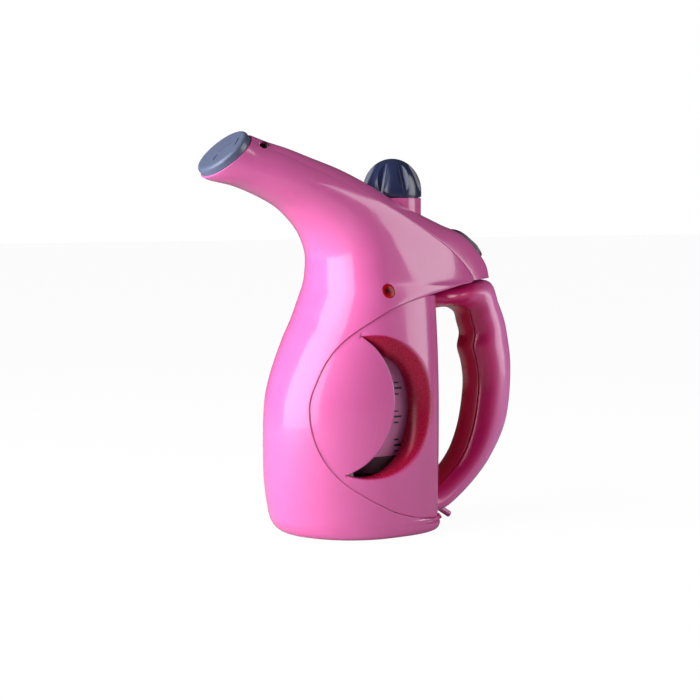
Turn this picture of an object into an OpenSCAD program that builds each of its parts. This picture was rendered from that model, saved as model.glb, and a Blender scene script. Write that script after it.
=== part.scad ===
// Handheld garment steamer: pink two-part body, swept nozzle, loop handle,
// screw filler cap, crescent water window and a rocker switch on the tail.
// Origin: centre of the base on the resting surface. The nozzle points to -X,
// the handle to +X, and the near side, called left here, is -Y.

/* [Body] */
// Thickness of the moulded skins
skin_t = 2; // [1.5:0.1:2.4]
// Depth of the side panels below the front shell
panel_step = 0.8; // [0.4:0.1:1.2]
// Gap along the parting line of the shells
seam_gap = 0.4; // [0.3:0.1:0.8]
// Rearmost reach of the side panels
rear_x = 37; // [36:0.5:37.5]

/* [Nozzle] */
// Radius of the nozzle mouth
mouth_r = 16.1; // [15.9:0.1:16.3]
// Height of the steam plate above the nozzle lip
plate_h = 4.6; // [4:0.2:5]
// Rounding of the steam plate's rim
plate_edge = 2; // [1:0.5:2.5]
// Tilt of the nozzle mouth from level
mouth_tilt = 42; // [41:1:43]
// Number of steam holes in the outer ring
ring_holes = 20; // [12:1:24]

/* [Filler cap] */
// Radius of the filler neck and of the cap
neck_r = 15.5; // [15:0.1:16]
// Height of the top of the filler neck
neck_top = 176.5; // [175:0.5:178]
// Height of the domed cap
cap_h = 20.4; // [18:0.2:24]
// Number of finger flutes round the cap
flutes = 8; // [6:1:10]
// Lead of the cap thread
thread_pitch = 4; // [3:0.5:5]

/* [Water window] */
// Radius of the round window
window_r = 37.5; // [35:0.5:38]
// Radius of the disc that covers the front of the window
disc_r = 40.6; // [39:0.2:42]
// Half width of the water tank
tank_half = 26; // [24:0.5:26]

/* [Handle] */
// Half width of the handle
grip_half = 12.5; // [11.5:0.5:13]
// Wall of the handle shells
grip_wall = 2.2; // [1.8:0.1:2.6]

/* [Hidden] */
$fn = 48;

mid_x = -5;                      // where the body is widest
neck_x = 18;                     // axis of the filler neck
plate_r = mouth_r - 0.8;         // steam plate, proud of the mouth
plate_seat = 1.3;
rim_r = plate_r - plate_edge;
rim_h = plate_h - plate_edge;
mouth = [-95 + plate_edge + rim_r * cos(mouth_tilt) + rim_h * sin(mouth_tilt), 0,
    210 - plate_edge - rim_r * sin(mouth_tilt) - rim_h * cos(mouth_tilt)];
window_c = [-15.7, 69.2];        // centre of the round window, in side view
disc_c = [-44.6, 73];            // centre of the covering disc, in side view
lens_pos = [-4.3, 128.7];        // indicator lenses, in side view
lens_r = 3.2;
catch_pos = [-67, 201.8];      // brush catch holes, in side view
catch_r = 2.2;
heater_x = 3;
tank_z = 42;
tank_top = 112;
switch_pos = [64, 0, 151.9];
switch_tilt = 38;

// One row of the front shell runs from the front edge to the parting line or
// the ridge: [front x, front z, end x, end z, front depth, half width, end half width, power].
ROWS = [
    [-42, 0.3, 35.5, 0.3, 37, 34.5, 0, 3],
    [-47.4, 1.6, 37, 1.6, 42.4, 36.4, 0, 3],
    [-50.8, 4.4, 37.6, 4.4, 45.8, 37, 0, 3],
    [-51.9, 5.9, 35, 5.9, 46.9, 37.1, 21.6, 3],
    [-52.6, 7, 30, 7, 47.6, 37.2, 28.8, 3],
    [-53.5, 9, 14, 9, 48.5, 37.3, 36, 3],
    [-54.5, 13, -1, 13, 49.5, 37.4, 37.4, 3],
    [-56.1, 22, -19, 22, 51.1, 37.7, 0, 3],
    [-57, 31, -32, 31, 52, 38.1, 0, 3],
    [-57.2, 41, -40, 41, 52.2, 38.4, 0, 3],
    [-57.2, 52, -44.6, 52, 52.2, 38.5, 0, 3],
    [-56.8, 63, -46.4, 63, 51.8, 38.5, 0, 3],
    [-55.8, 73, -46, 73, 50.8, 38.3, 0, 3],
    [-53.1, 83, -42.6, 83, 48.1, 37.8, 0, 3],
    [-48.8, 94, -37, 94, 43.8, 36.9, 0, 3],
    [-44.2, 104, -28.8, 104, 39.2, 35.8, 0, 3],
    [-39.3, 113, -16, 113, 34.3, 34.6, 0, 3],
    [-36.3, 120, -2, 120, 31.3, 33.5, 33.5, 3],
    [-33.8, 126, 24, 126, 28.8, 32.4, 29.6, 3],
    [-32.1, 131, 48, 130, 27.1, 31.1, 22, 3],
    [-31.3, 136, 61, 132, 26.3, 30, 15.5, 3],
    [-31, 141, 58, 136, 26, 29.3, 16.5, 2.8],
    [-31.4, 147, 50, 143, 26.3, 28.5, 19, 2.6],
    [-33.8, 153.5, 40, 150, 28.2, 27.7, 21.5, 2.5],
    [-38.2, 160.5, 27, 157.5, 30.4, 26.9, 23.5, 2.4],
    [-44, 166.5, 14, 165, 31.2, 26, 24, 2.3],
    [-51, 172, 0, 172.5, 30, 25, 23.5, 2.2],
    [-59.5, 176.3, -13, 179, 28, 23.8, 22, 2.1],
    [-69, 180.1, -27, 185.8, 25, 22.3, 19.5, 2],
    [-78, 182.8, -42, 192.5, 21.5, 20, 16, 2],
    [-85.5, 184.2, -55, 198.6, 18, 17.8, 12.5, 2],
    [-90.2, 185.2, -64, 202.3, 16.6, 16.6, 10.5, 2],
    [-93.3, 186.4, -71.6, 206, 16.1, 16.1, 9.4, 2]];

first_ridge = 20;                // row where the ridge starts, at the tail
// Crown of the top cover beside each ridge row: [x, z]
CROWN = [
    [78.8, 132.8], [77.2, 138.4], [70, 147.8], [59, 156.8], [44, 162.4], [30, 168],
    [12, 176.2], [-4, 184.6], [-20, 191.8], [-36, 197.4], [-50, 202.2],
    [-61, 205.2], [-69.4, 208]];

// Handle from the tail down to the base: [inner x, inner z, outer x, outer z, half width]
GRIP = [
    [37.5, 117, 37.5, 130, 24], [48, 117.2, 55, 130.5, 19], [57, 116, 71, 130.5, 14.5],
    [61, 113.2, 80, 129.4, grip_half], [63.2, 107, 86, 119.4, grip_half],
    [64.8, 101, 90.5, 109, grip_half], [63.2, 94, 93.3, 98, grip_half],
    [65.7, 86, 94.8, 88, grip_half], [67.3, 77, 95, 78, grip_half],
    [66.6, 65, 94, 64, grip_half], [63.6, 50, 91, 50.5, grip_half],
    [59.6, 39.6, 86, 40.6, grip_half], [55, 32.5, 77.5, 28.5, grip_half],
    [49.6, 27, 68.3, 19.3, grip_half], [44, 22.5, 60.2, 13, 13], [38, 18.5, 48, 6, 14]];

function row_len(r) = norm([r[2] - r[0], r[3] - r[1]]);
// Half width of a row at distance d from its front edge, moved outwards by off
function row_y(r, d, off) =
    let (u = d - r[4], b = r[5] + off, ue = row_len(r) - r[4])
    u <= 0 ? b * sqrt(max(0, 1 - pow(u / (r[4] + off), 2)))
    : let (reach = ue / pow(max(0.001, 1 - pow(r[6] / r[5], r[7])), 1 / r[7]) + off)
        b * pow(max(0, 1 - pow(u / reach, r[7])), 1 / r[7]);
// Point on a row at fraction s; equal steps of s are closer near the ends
function row_point(r, s, off) =
    let (l = row_len(r), k = r[6] == 0 && r[2] > 30 ? (1 - cos(180 * s)) / 2 : 1 - cos(90 * s),
        rear = r[6] == 0 && r[2] > 30 ? off : 0,
        d = -off + k * (l + off + rear), t = d / l)
    [r[0] + t * (r[2] - r[0]), -row_y(r, d, off), r[1] + t * (r[3] - r[1])];

function by_height(i) = [for (k = [0:first_ridge - 1]) [ROWS[k][1], ROWS[k][i]]];
SEAM = [for (k = [2:first_ridge - 1]) [ROWS[k][3], ROWS[k][2]]];

// Side panel point at height z and fraction s, from the parting line to the rear
function panel_point(z, s, off) =
    let (x0 = max(lookup(z - seam_gap, SEAM), lookup(z + seam_gap, SEAM)) + seam_gap / 2,
        x1 = rear_x + off,
        x = x0 + (x1 - x0) * sin(90 * s),
        b = lookup(z, by_height(5)) + off, u = x - mid_x,
        front = mid_x - lookup(z, by_height(0)) + off)
    [x, u < 0 ? -b * sqrt(1 - pow(u / front, 2))
        : -b * pow(max(0, 1 - pow(u / (x1 - mid_x), 3)), 1 / 3), z];

// Closed skin between two grids of points; rows go up and columns go to the rear
module skin(outer, inner) {
    m = len(outer) - 1;
    n = len(outer[0]) - 1;
    half = (m + 1) * (n + 1);
    function id(i, j) = i * (n + 1) + j;
    function quad(a, b, c, d) = [[a, b, c], [a, c, d]];
    faces = [
        for (i = [0:m - 1], j = [0:n - 1]) each concat(
            quad(id(i, j), id(i + 1, j), id(i + 1, j + 1), id(i, j + 1)),
            quad(half + id(i, j), half + id(i, j + 1), half + id(i + 1, j + 1), half + id(i + 1, j))),
        for (i = [0:m - 1]) each concat(
            quad(id(i, 0), half + id(i, 0), half + id(i + 1, 0), id(i + 1, 0)),
            quad(id(i, n), id(i + 1, n), half + id(i + 1, n), half + id(i, n))),
        for (j = [0:n - 1]) each concat(
            quad(id(0, j), id(0, j + 1), half + id(0, j + 1), half + id(0, j)),
            quad(id(m, j + 1), id(m, j), half + id(m, j), half + id(m, j + 1)))];
    polyhedron(points = concat([for (r = outer) each r], [for (r = inner) each r]), faces = faces);
}

// Tube swept along points in the XZ plane at a constant y
module swept_tube(path, r, sides = 8) {
    n = len(path);
    function along(i) = path[min(i + 1, n - 1)] - path[max(i - 1, 0)];
    rings = [for (i = [0:n - 1]) let (t = along(i) / norm(along(i)), up = [-t[2], 0, t[0]])
        [for (k = [0:sides - 1]) path[i] + r * (up * cos(360 * k / sides) + [0, 1, 0] * sin(360 * k / sides))]];
    polyhedron(points = [for (g = rings) each g], faces = [
        [for (k = [0:sides - 1]) sides - 1 - k],
        [for (k = [0:sides - 1]) (n - 1) * sides + k],
        for (i = [0:n - 2], k = [0:sides - 1]) let (a = i * sides + k, b = i * sides + (k + 1) % sides)
            each [[a, b, b + sides], [a, b + sides, a + sides]]]);
}
function bezier(a, b, c, d, t) =
    a * pow(1 - t, 3) + b * 3 * t * pow(1 - t, 2) + c * 3 * t * t * (1 - t) + d * pow(t, 3);

module both_sides() { children(); mirror([0, 1, 0]) children(); }
module across(r, y0, y1) { translate([0, y0, 0]) rotate([-90, 0, 0]) cylinder(r = r, h = y1 - y0); }
module at_mouth() { translate(mouth) rotate([0, -mouth_tilt, 0]) children(); }
module at_switch() { translate(switch_pos) rotate([0, switch_tilt, 0]) children(); }

module front_half() {
    steps = 12;
    difference() {
        skin([for (r = ROWS) [for (j = [0:steps]) row_point(r, j / steps, 0)]],
            [for (r = ROWS) [for (j = [0:steps]) row_point(r, j / steps, -skin_t)]]);
        translate([lens_pos[0], 0, lens_pos[1]]) across(lens_r + 0.1, -40, -20);
        translate([catch_pos[0], 0, catch_pos[1]]) across(catch_r, -30, -6);
        at_mouth() translate([0, 0, -plate_seat]) cylinder(r = plate_r + 0.1, h = 9);
    }
}
module left_front_shell() { color("hotpink") front_half(); }
module right_front_shell() { color("hotpink") mirror([0, 1, 0]) front_half(); }

module side_half() {
    steps = 12;
    z_levels = [6, 7.6, 9.5, 13, 18, 24, 31, 40, 50, 60, 70, 80, 90, 99, 107, 114, 119, 122.5, 125.5];
    difference() {
        skin([for (z = z_levels) [for (j = [0:steps]) panel_point(z, j / steps, -panel_step)]],
            [for (z = z_levels) [for (j = [0:steps]) panel_point(z, j / steps, -panel_step - skin_t)]]);
        difference() {
            translate([window_c[0], 0, window_c[1]]) across(window_r, -45, -20);
            translate([disc_c[0], 0, disc_c[1]]) across(disc_r, -46, -19);
        }
    }
}
module left_side_panel() { color("hotpink") side_half(); }
module right_side_panel() { color("hotpink") mirror([0, 1, 0]) side_half(); }

module window_frame() {
    y_out = -30.3;
    y_in = -tank_half - 0.6;
    module funnel(grow) {
        translate([window_c[0], y_out, window_c[1]]) rotate([-90, 0, 0])
            cylinder(r1 = window_r - 3.5 + grow, r2 = window_r - 8 + grow, h = y_in - y_out);
    }
    difference() {
        funnel(1.6);
        translate([0, -0.01, 0]) funnel(0);
        translate([0, 0.01, 0]) funnel(0);
        translate([disc_c[0], 0, disc_c[1]]) across(disc_r - 3, -40, -20);
        translate([-80, -40, 0]) cube([62.5, 40, 150]);
    }
}
module left_window_frame() { color("mediumvioletred") window_frame(); }
module right_window_frame() { color("mediumvioletred") mirror([0, 1, 0]) window_frame(); }

// Point of the top cover: k counts ridge rows, v runs from -1 to 1 across
function cover_point(k, v, off) =
    let (r = ROWS[first_ridge + k], c = CROWN[k], h = 1 - pow(abs(v), 3.2))
    [r[2] + (c[0] - r[2]) * h, v * (r[6] - 0.15 + off), r[3] + (c[1] - r[3]) * h + off * (1 - pow(v, 8))];

module top_cover() {
    steps = 14;
    rows = len(CROWN) - 1;
    color("hotpink") difference() {
        union() {
            skin([for (k = [0:rows]) [for (j = [0:steps]) cover_point(k, 2 * j / steps - 1, 0)]],
                [for (k = [0:rows]) [for (j = [0:steps]) cover_point(k, 2 * j / steps - 1, -skin_t)]]);
            translate([neck_x, 0, 160]) cylinder(r = neck_r, h = neck_top - 160);
            intersection() {
                translate([neck_x, 0, 166]) cylinder(r = neck_r + 3, h = 9.6);
                translate([neck_x - 25, -25, 160]) cube([16, 50, 30]);
            }
        }
        translate([neck_x, 0, 175.6]) difference() {
            cylinder(r = neck_r + 1, h = 30);
            translate([0, 0, -1]) cylinder(r = neck_r, h = neck_top - 174.6);
        }
        translate([neck_x, 0, 140]) cylinder(r = neck_r - 2.4, h = 60);
        at_switch() translate([-12.7, -8.7, -15]) cube([25.4, 17.4, 30]);
        // Turned so that the edge of the round cut starts clear of the cover
        at_mouth() rotate(90) translate([0, 0, -plate_seat]) cylinder(r = plate_r + 0.1, h = 9);
    }
}

// Handle point: station k, angle a from the inner edge (0) round to the outer edge (180)
function grip_point(k, a, wall) =
    let (g = GRIP[k], mid = [g[0] + g[2], g[1] + g[3]] / 2, arm = [g[2] - g[0], g[3] - g[1]] / 2,
        f = 1 - wall / norm(arm))
    [mid[0] - arm[0] * f * cos(a), -(g[4] - wall) * sin(a), mid[1] - arm[1] * f * cos(a)];

module grip_shell(from, to, steps) {
    stations = len(GRIP) - 1;
    skin([for (k = [0:stations]) [for (j = [0:steps]) grip_point(stations - k, from + (to - from) * j / steps, 0)]],
        [for (k = [0:stations]) [for (j = [0:steps])
            grip_point(stations - k, from + (to - from) * j / steps, grip_wall)]]);
}
grip_split = 38;
module handle_grip() { color("mediumvioletred") grip_shell(-grip_split, grip_split, 6); }
module handle_back_cover() {
    color("hotpink") difference() {
        grip_shell(grip_split + 1, 359 - grip_split, 18);
        translate([51, -4.5, 122]) cube([9, 9, 12]);
        at_gland() translate([0, 0, -1]) cylinder(r = 1.8, h = 14);
    }
}

module nozzle_plate() {
    color("slategray") at_mouth() difference() {
        rotate_extrude($fn = 96) polygon(concat(
            [[0, -plate_seat], [plate_r, -plate_seat]],
            [for (a = [0:22.5:90]) [plate_r - plate_edge * (1 - cos(a)), plate_h - plate_edge * (1 - sin(a))]],
            [[0, plate_h]]));
        translate([0, 0, -plate_seat - 1]) cylinder(r = plate_r - 3, h = plate_seat + plate_h - 1.2);
        for (i = [0:ring_holes - 1]) rotate(360 * i / ring_holes)
            translate([11.6, 0, 0]) cylinder(r = 0.5, h = 8, $fn = 16);
        for (i = [-4:4]) translate([i * 1.7, 0, 0]) cylinder(r = 0.4, h = 8, $fn = 16);
        for (s = [-1, 1]) translate([-2.2, s * 7 - 0.6, 0]) cube([4.4, 1.2, 8]);
    }
}
module nozzle_gasket() {
    color("dimgray") at_mouth() translate([0, 0, -plate_seat - 1]) difference() {
        translate([0.6, 0, 0]) cylinder(r = 12.6, h = 1);
        translate([0.6, 0, -1]) cylinder(r = 10.8, h = 4);
    }
}
module steam_chamber() {
    color("gainsboro") at_mouth() translate([1.4, 0, -plate_seat - 4.4]) difference() {
        cylinder(r = 9.8, h = 3.4);
        translate([0, 0, 1.2]) cylinder(r = 8.6, h = 5);
        translate([3, 0, -1]) cylinder(r = 4, h = 4);
    }
}
tube_path = [for (i = [0:12])
    bezier([-14, 0, 117], [-14, 0, 165], [-30, 0, 182], [-73.5, 0, 190], i / 12)];
module steam_tube() {
    color("ivory") difference() {
        swept_tube(tube_path, 5, 12);
        swept_tube([for (i = [0:12]) tube_path[i] + (i == 0 ? [0, 0, -1] : i == 12 ? [-1, 0, 0.2] : [0, 0, 0])],
            3.6, 12);
    }
}
module tube_clips() {
    color("silver") for (z = [119, 126]) translate([-14.1, 0, z]) difference() {
        cylinder(r = 6.8, h = 4);
        translate([0, 0, -1]) cylinder(r = 5.7, h = 6);
        translate([3, -8, -1]) cube([8, 16, 6]);
    }
}

module filler_cap() {
    color("slategray") translate([neck_x, 0, neck_top + 0.5]) difference() {
        rotate_extrude($fn = 96) polygon(concat(
            [[0, 0], [neck_r, 0], [neck_r + 0.2, 1.2]],
            [for (a = [0:6:90]) [(neck_r + 0.2) * cos(a), 3 + (cap_h - 3) * sin(a)]]));
        for (i = [0:flutes - 1]) rotate(360 * (i + 0.5) / flutes)
            translate([neck_r + 4, 0, 1.8]) rotate([0, -12, 0]) cylinder(r = 5.2, h = 30);
        translate([0, 0, -1]) cylinder(r = 9, h = 5);
    }
}
// Helical ridge with a triangular section round the Z axis
module thread_ridge(r_core, r_out, pitch, turns, per_turn = 20) {
    n = ceil(turns * per_turn);
    function ring(i) = let (a = 360 * i / per_turn, z = pitch * i / per_turn,
        fade = min(1, min(i, n - i) / 5), ro = r_core + 0.1 + (r_out - r_core - 0.1) * fade)
        [for (p = [[r_core - 0.6, z - 0.9], [ro, z - 0.3], [ro, z + 0.3], [r_core - 0.6, z + 0.9]])
            [p[0] * cos(a), p[0] * sin(a), p[1]]];
    polyhedron(points = [for (i = [0:n]) each ring(i)], faces = [
        [3, 2, 1, 0], [n * 4, n * 4 + 1, n * 4 + 2, n * 4 + 3],
        for (i = [0:n - 1], k = [0:3]) let (a = i * 4 + k, b = i * 4 + (k + 1) % 4)
            each [[a, b, b + 4], [a, b + 4, a + 4]]]);
}
module cap_plug() {
    color("gainsboro") translate([neck_x, 0, neck_top]) {
        difference() {
            union() {
                translate([0, 0, -14]) cylinder(r = 10.3, h = 14);
                cylinder(r = 8.8, h = 4.2);
            }
            translate([0, 0, -15]) cylinder(r = 8, h = 13);
        }
        translate([0, 0, -12.4]) thread_ridge(10.3, 11.3, thread_pitch, 2.2);
    }
}
module cap_gasket() {
    color("dimgray") translate([neck_x, 0, neck_top]) difference() {
        cylinder(r = 14, h = 0.5);
        translate([0, 0, -1]) cylinder(r = 10.8, h = 3);
    }
}

// Plan of the tank: straight sides, rounded corners
module tank_plan(inset) {
    x0 = -27 + inset;
    x1 = 30 - inset;
    y = tank_half - inset;
    r = 12 - inset;
    union() {
        translate([x0 + r, -y]) square([x1 - x0 - 2 * r, 2 * y]);
        translate([x0, -y + r]) square([x1 - x0, 2 * y - 2 * r]);
        for (cx = [x0 + r, x1 - r], cy = [-y + r, y - r]) translate([cx, cy]) circle(r = r);
    }
}
module water_tank() {
    color("thistle") translate([0, 0, tank_z]) difference() {
        linear_extrude(tank_top - tank_z) tank_plan(0);
        translate([0, 0, 4]) linear_extrude(tank_top - tank_z) tank_plan(2);
        translate([heater_x, 0, -1]) cylinder(r = 20, h = 6);
        for (a = [60, 180, 300]) translate([heater_x, 0, -0.5]) rotate(a) translate([23.4, 0, 0])
            cylinder(r = 1.3, h = 3.3, $fn = 24);
    }
}
module lid_gasket() {
    color("dimgray") translate([0, 0, tank_top]) linear_extrude(0.8) difference() {
        tank_plan(0.3);
        tank_plan(1.8);
    }
}
module tank_lid() {
    z = tank_top + 0.8;
    color("thistle") difference() {
        union() {
            translate([0, 0, z]) linear_extrude(2.4) tank_plan(0);
            translate([neck_x, 0, z]) cylinder(r = 13, h = neck_top - 0.4 - z);
            translate([-14, 0, z]) cylinder(r = 5, h = 3.7);
        }
        translate([neck_x, 0, z - 1]) cylinder(r = 11.6, h = 80);
        translate([-14, 0, z - 1]) cylinder(r = 3.6, h = 8);
    }
}
module level_marks() {
    color("black") both_sides() for (i = [0:2]) translate([2.6, -tank_half - 0.4, 47 + 15 * i]) {
        cube([4.4, 0.4, 0.9]);
        translate([0, 0, -3]) cube([2.6, 0.4, 0.7]);
        translate([0, 0, 3]) cube([2.6, 0.4, 0.7]);
    }
}

module heater_block() {
    color("silver") translate([heater_x, 0, 33]) difference() {
        cylinder(r = 26, h = 7.5);
        rotate_extrude() translate([18, 0]) circle(r = 2.55);
        for (a = [60, 180, 300]) rotate(a) translate([23.4, 0, -1]) cylinder(r = 1.5, h = 10, $fn = 24);
    }
}
module heating_element() {
    color("darkgray") translate([heater_x, 0, 33]) {
        rotate(20) rotate_extrude(angle = 320) translate([18, 0]) circle(r = 2.4);
        for (a = [22, -22]) rotate(a) translate([18, 0, -9]) cylinder(r = 1.5, h = 9);
    }
}
module heater_gasket() {
    color("orangered") translate([heater_x, 0, 40.5]) difference() {
        cylinder(r = 26, h = 1.5);
        translate([0, 0, -1]) cylinder(r = 20.5, h = 4);
        for (a = [60, 180, 300]) rotate(a) translate([23.4, 0, -1]) cylinder(r = 1.5, h = 4, $fn = 24);
    }
}
module heater_screws() {
    color("gray") for (a = [60, 180, 300]) translate([heater_x, 0, 31]) rotate(a)
        translate([23.4, 0, 0]) {
            cylinder(r = 2.5, h = 2);
            translate([0, 0, 1]) cylinder(r = 1.2, h = 12.6, $fn = 24);
        }
}
module thermostat() {
    color("gainsboro") translate([heater_x, 0, 24]) {
        cylinder(r = 8, h = 9);
        for (s = [-1, 1]) translate([s * 5 - 0.4, -1.6, -6]) cube([0.8, 3.2, 6.5]);
    }
}
module thermal_fuse() {
    color("white") translate([heater_x + 11.7, 0, 30.9]) {
        across(2, -5, 5);
        across(0.5, -9, 9);
    }
}
post_at = [for (sx = [-24, 24], sy = [-18, 18]) [heater_x + sx, sy]];
module support_posts() {
    color("gainsboro") for (p = post_at) translate([p[0], p[1], 2.8]) difference() {
        cylinder(r = 3, h = tank_z - 2.8);
        translate([0, 0, -1]) cylinder(r = 1.3, h = 13, $fn = 24);
    }
}

module base_plan() {
    polygon(concat(
        [for (a = [-90:6:90]) let (c = cos(a)) [mid_x + 37.6 * pow(c, 2 / 3), 30 * sign(a) * pow(abs(sin(a)), 2 / 3)]],
        [for (a = [96:6:264]) [mid_x + 36 * cos(a), 30 * sin(a)]]));
}
module bottom_cover() {
    color("hotpink") difference() {
        translate([0, 0, 0.8]) linear_extrude(2) base_plan();
        for (p = post_at) translate([p[0], p[1], 0]) {
            cylinder(r = 1.5, h = 5, $fn = 24);
            cylinder(r = 2.9, h = 1.8);
        }
        for (x = [-16:8:24]) translate([x - 1, -12, 0]) cube([2, 24, 5]);
    }
}
module feet() {
    color("dimgray") for (p = [[-31, -11], [-31, 11], [20, -24], [20, 24]])
        translate([p[0], p[1], 0]) cylinder(r = 3.6, h = 0.8);
}
module base_screws() {
    color("gray") for (p = post_at) translate([p[0], p[1], 1]) {
        cylinder(r = 2.6, h = 0.8);
        cylinder(r = 1.2, h = 11, $fn = 24);
    }
}

module lens() {
    translate([lens_pos[0], 0, lens_pos[1]]) {
        across(lens_r, -32.2, -27.6);
        across(lens_r + 1.2, -27.8, -26.6);
    }
}
module left_indicator_lens() { color("darkred") lens(); }
module right_indicator_lens() { color("darkred") mirror([0, 1, 0]) lens(); }
module indicator_lamps() {
    color("orange") both_sides() translate([lens_pos[0], 0, lens_pos[1]]) {
        across(2.4, -26.4, -20);
        across(3, -21.5, -20);
    }
}

module switch_housing() {
    color("dimgray") at_switch() difference() {
        union() {
            translate([-12.4, -8.4, -3.4]) cube([24.8, 16.8, 4.2]);
            translate([-11.4, -7.9, -13]) cube([22.8, 15.8, 10]);
        }
        translate([-10.6, -6.3, -11.6]) cube([21.2, 12.6, 20]);
        translate([0, 0, -1.5]) across(1.25, -7.5, 7.5);
        for (x = [-7, 0, 7]) translate([x - 0.5, -2.6, -14]) cube([1, 5.2, 5]);
    }
}
module rocker_button() {
    chord = 9.5;
    color("dimgray") at_switch() translate([0, 0, -1.5]) rotate([0, -8, 0]) {
        rotate([90, 0, 0]) linear_extrude(12, center = true) polygon(concat(
            [[-chord, 2.8], [-8.6, 0.6], [-4, -2], [4, -2], [8.6, 0.6], [chord, 2.8]],
            [for (x = [7:-2:-7]) [x, 2.8 + 1.9 * (1 - pow(x / chord, 2))]]));
        across(1.2, -7.3, 7.3);
        translate([0, 0, -5.7]) cylinder(r = 1, h = 5);
    }
}
module contact_bridge() {
    color("goldenrod") at_switch() translate([0, 0, -8]) rotate([0, 5, 0]) {
        translate([-7.5, -2, -0.3]) cube([15, 4, 0.6]);
        across(0.5, -2.4, 2.4);
    }
}
module switch_terminals() {
    color("goldenrod") at_switch() {
        for (x = [-7, 7]) translate([x - 0.4, -2.5, -19]) cube([0.8, 5, 9.7]);
        translate([-0.4, -2.5, -19]) cube([0.8, 5, 10.4]);
    }
}

module at_gland() { translate([56, 0, 1.6]) rotate([0, -57, 0]) children(); }
module cord_gland() {
    color("hotpink") at_gland() difference() {
        cylinder(r = 1.7, h = 11);
        translate([0, 0, -1]) cylinder(r = 1.1, h = 14);
    }
}
module cord_clamp() {
    color("gainsboro") translate([30, -5, 9]) difference() {
        cube([4, 10, 5]);
        translate([-1, 5, 2.5]) rotate([0, 90, 0]) cylinder(r = 1.6, h = 8);
    }
}
lead_path = [for (p = [[54, 134], [56, 127], [66, 124], [72, 118], [76.5, 108], [80, 98],
    [81.5, 78], [80.5, 64], [77, 50], [71, 38], [62, 27], [54, 19]]) [p[0], 0, p[1]]];
module inner_leads() {
    color("firebrick") for (y = [-2.5, 2.5]) translate([0, y, 0]) swept_tube(lead_path, 1.2);
}

left_front_shell();
right_front_shell();
left_side_panel();
right_side_panel();
left_window_frame();
right_window_frame();
top_cover();
handle_grip();
handle_back_cover();
nozzle_plate();
nozzle_gasket();
steam_chamber();
steam_tube();
tube_clips();
filler_cap();
cap_plug();
cap_gasket();
water_tank();
tank_lid();
lid_gasket();
level_marks();
heater_block();
heating_element();
heater_gasket();
heater_screws();
thermostat();
thermal_fuse();
support_posts();
bottom_cover();
feet();
base_screws();
left_indicator_lens();
right_indicator_lens();
indicator_lamps();
switch_housing();
rocker_button();
contact_bridge();
switch_terminals();
cord_gland();
cord_clamp();
inner_leads();
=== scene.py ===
import math

import bmesh
import bpy
import numpy as np
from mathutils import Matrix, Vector
from mathutils.geometry import delaunay_2d_cdt


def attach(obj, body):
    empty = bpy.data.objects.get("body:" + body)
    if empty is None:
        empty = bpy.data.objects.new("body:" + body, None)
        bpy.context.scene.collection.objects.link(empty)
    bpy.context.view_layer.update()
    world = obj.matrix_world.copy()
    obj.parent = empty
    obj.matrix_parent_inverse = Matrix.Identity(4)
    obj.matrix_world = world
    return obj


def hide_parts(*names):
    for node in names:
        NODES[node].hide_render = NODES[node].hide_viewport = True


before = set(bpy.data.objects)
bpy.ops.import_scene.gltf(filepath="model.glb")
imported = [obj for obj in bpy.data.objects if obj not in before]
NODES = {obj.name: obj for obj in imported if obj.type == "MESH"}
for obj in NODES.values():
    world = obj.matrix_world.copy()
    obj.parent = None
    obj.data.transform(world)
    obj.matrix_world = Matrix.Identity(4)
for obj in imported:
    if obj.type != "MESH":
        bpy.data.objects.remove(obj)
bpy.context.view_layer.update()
scene = bpy.context.scene
MM = 0.001

# ------------------------------------------------------------------ camera
AIM, VIEW_DISTANCE = Vector((0.0, 0.0, 0.1025)), 0.9
az, el = math.radians(-32.0), math.radians(4.6)
back = Vector((math.sin(az) * math.cos(el), -math.cos(az) * math.cos(el), math.sin(el)))
camera = bpy.data.objects.new("camera", bpy.data.cameras.new("camera"))
scene.collection.objects.link(camera)
camera.location = AIM + back * VIEW_DISTANCE
camera.rotation_euler = back.to_track_quat("Z", "Y").to_euler()
camera.data.lens = 86.81
camera.data.sensor_width = 36.0
camera.data.shift_x = -0.01917
camera.data.shift_y = -0.01834
camera.data.clip_start = 0.01
scene.camera = camera
scene.view_settings.view_transform = "Standard"


# --------------------------------------------------------------- materials
NOISE_LO, NOISE_HI = 0.3, 0.7  # most of a noise texture lies between these


def noise(nt, vec, scale, detail):
    n = nt.nodes.new("ShaderNodeTexNoise")
    n.inputs["Scale"].default_value = scale
    n.inputs["Detail"].default_value = detail
    nt.links.new(vec, n.inputs["Vector"])
    return n.outputs["Fac"]


def spread(nt, fac, lo, hi, a=NOISE_LO, b=NOISE_HI):
    """Maps fac from a..b to lo..hi."""
    m = nt.nodes.new("ShaderNodeMapRange")
    m.inputs["From Min"].default_value = a
    m.inputs["From Max"].default_value = b
    m.inputs["To Min"].default_value = lo
    m.inputs["To Max"].default_value = hi
    nt.links.new(fac, m.inputs["Value"])
    return m.outputs["Result"]


def two_tone(nt, fac, c0, c1):
    r = nt.nodes.new("ShaderNodeValToRGB")
    r.color_ramp.elements[0].position = NOISE_LO
    r.color_ramp.elements[1].position = NOISE_HI
    r.color_ramp.elements[0].color = (*c0, 1)
    r.color_ramp.elements[1].color = (*c1, 1)
    nt.links.new(fac, r.inputs["Fac"])
    return r.outputs["Color"]


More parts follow.
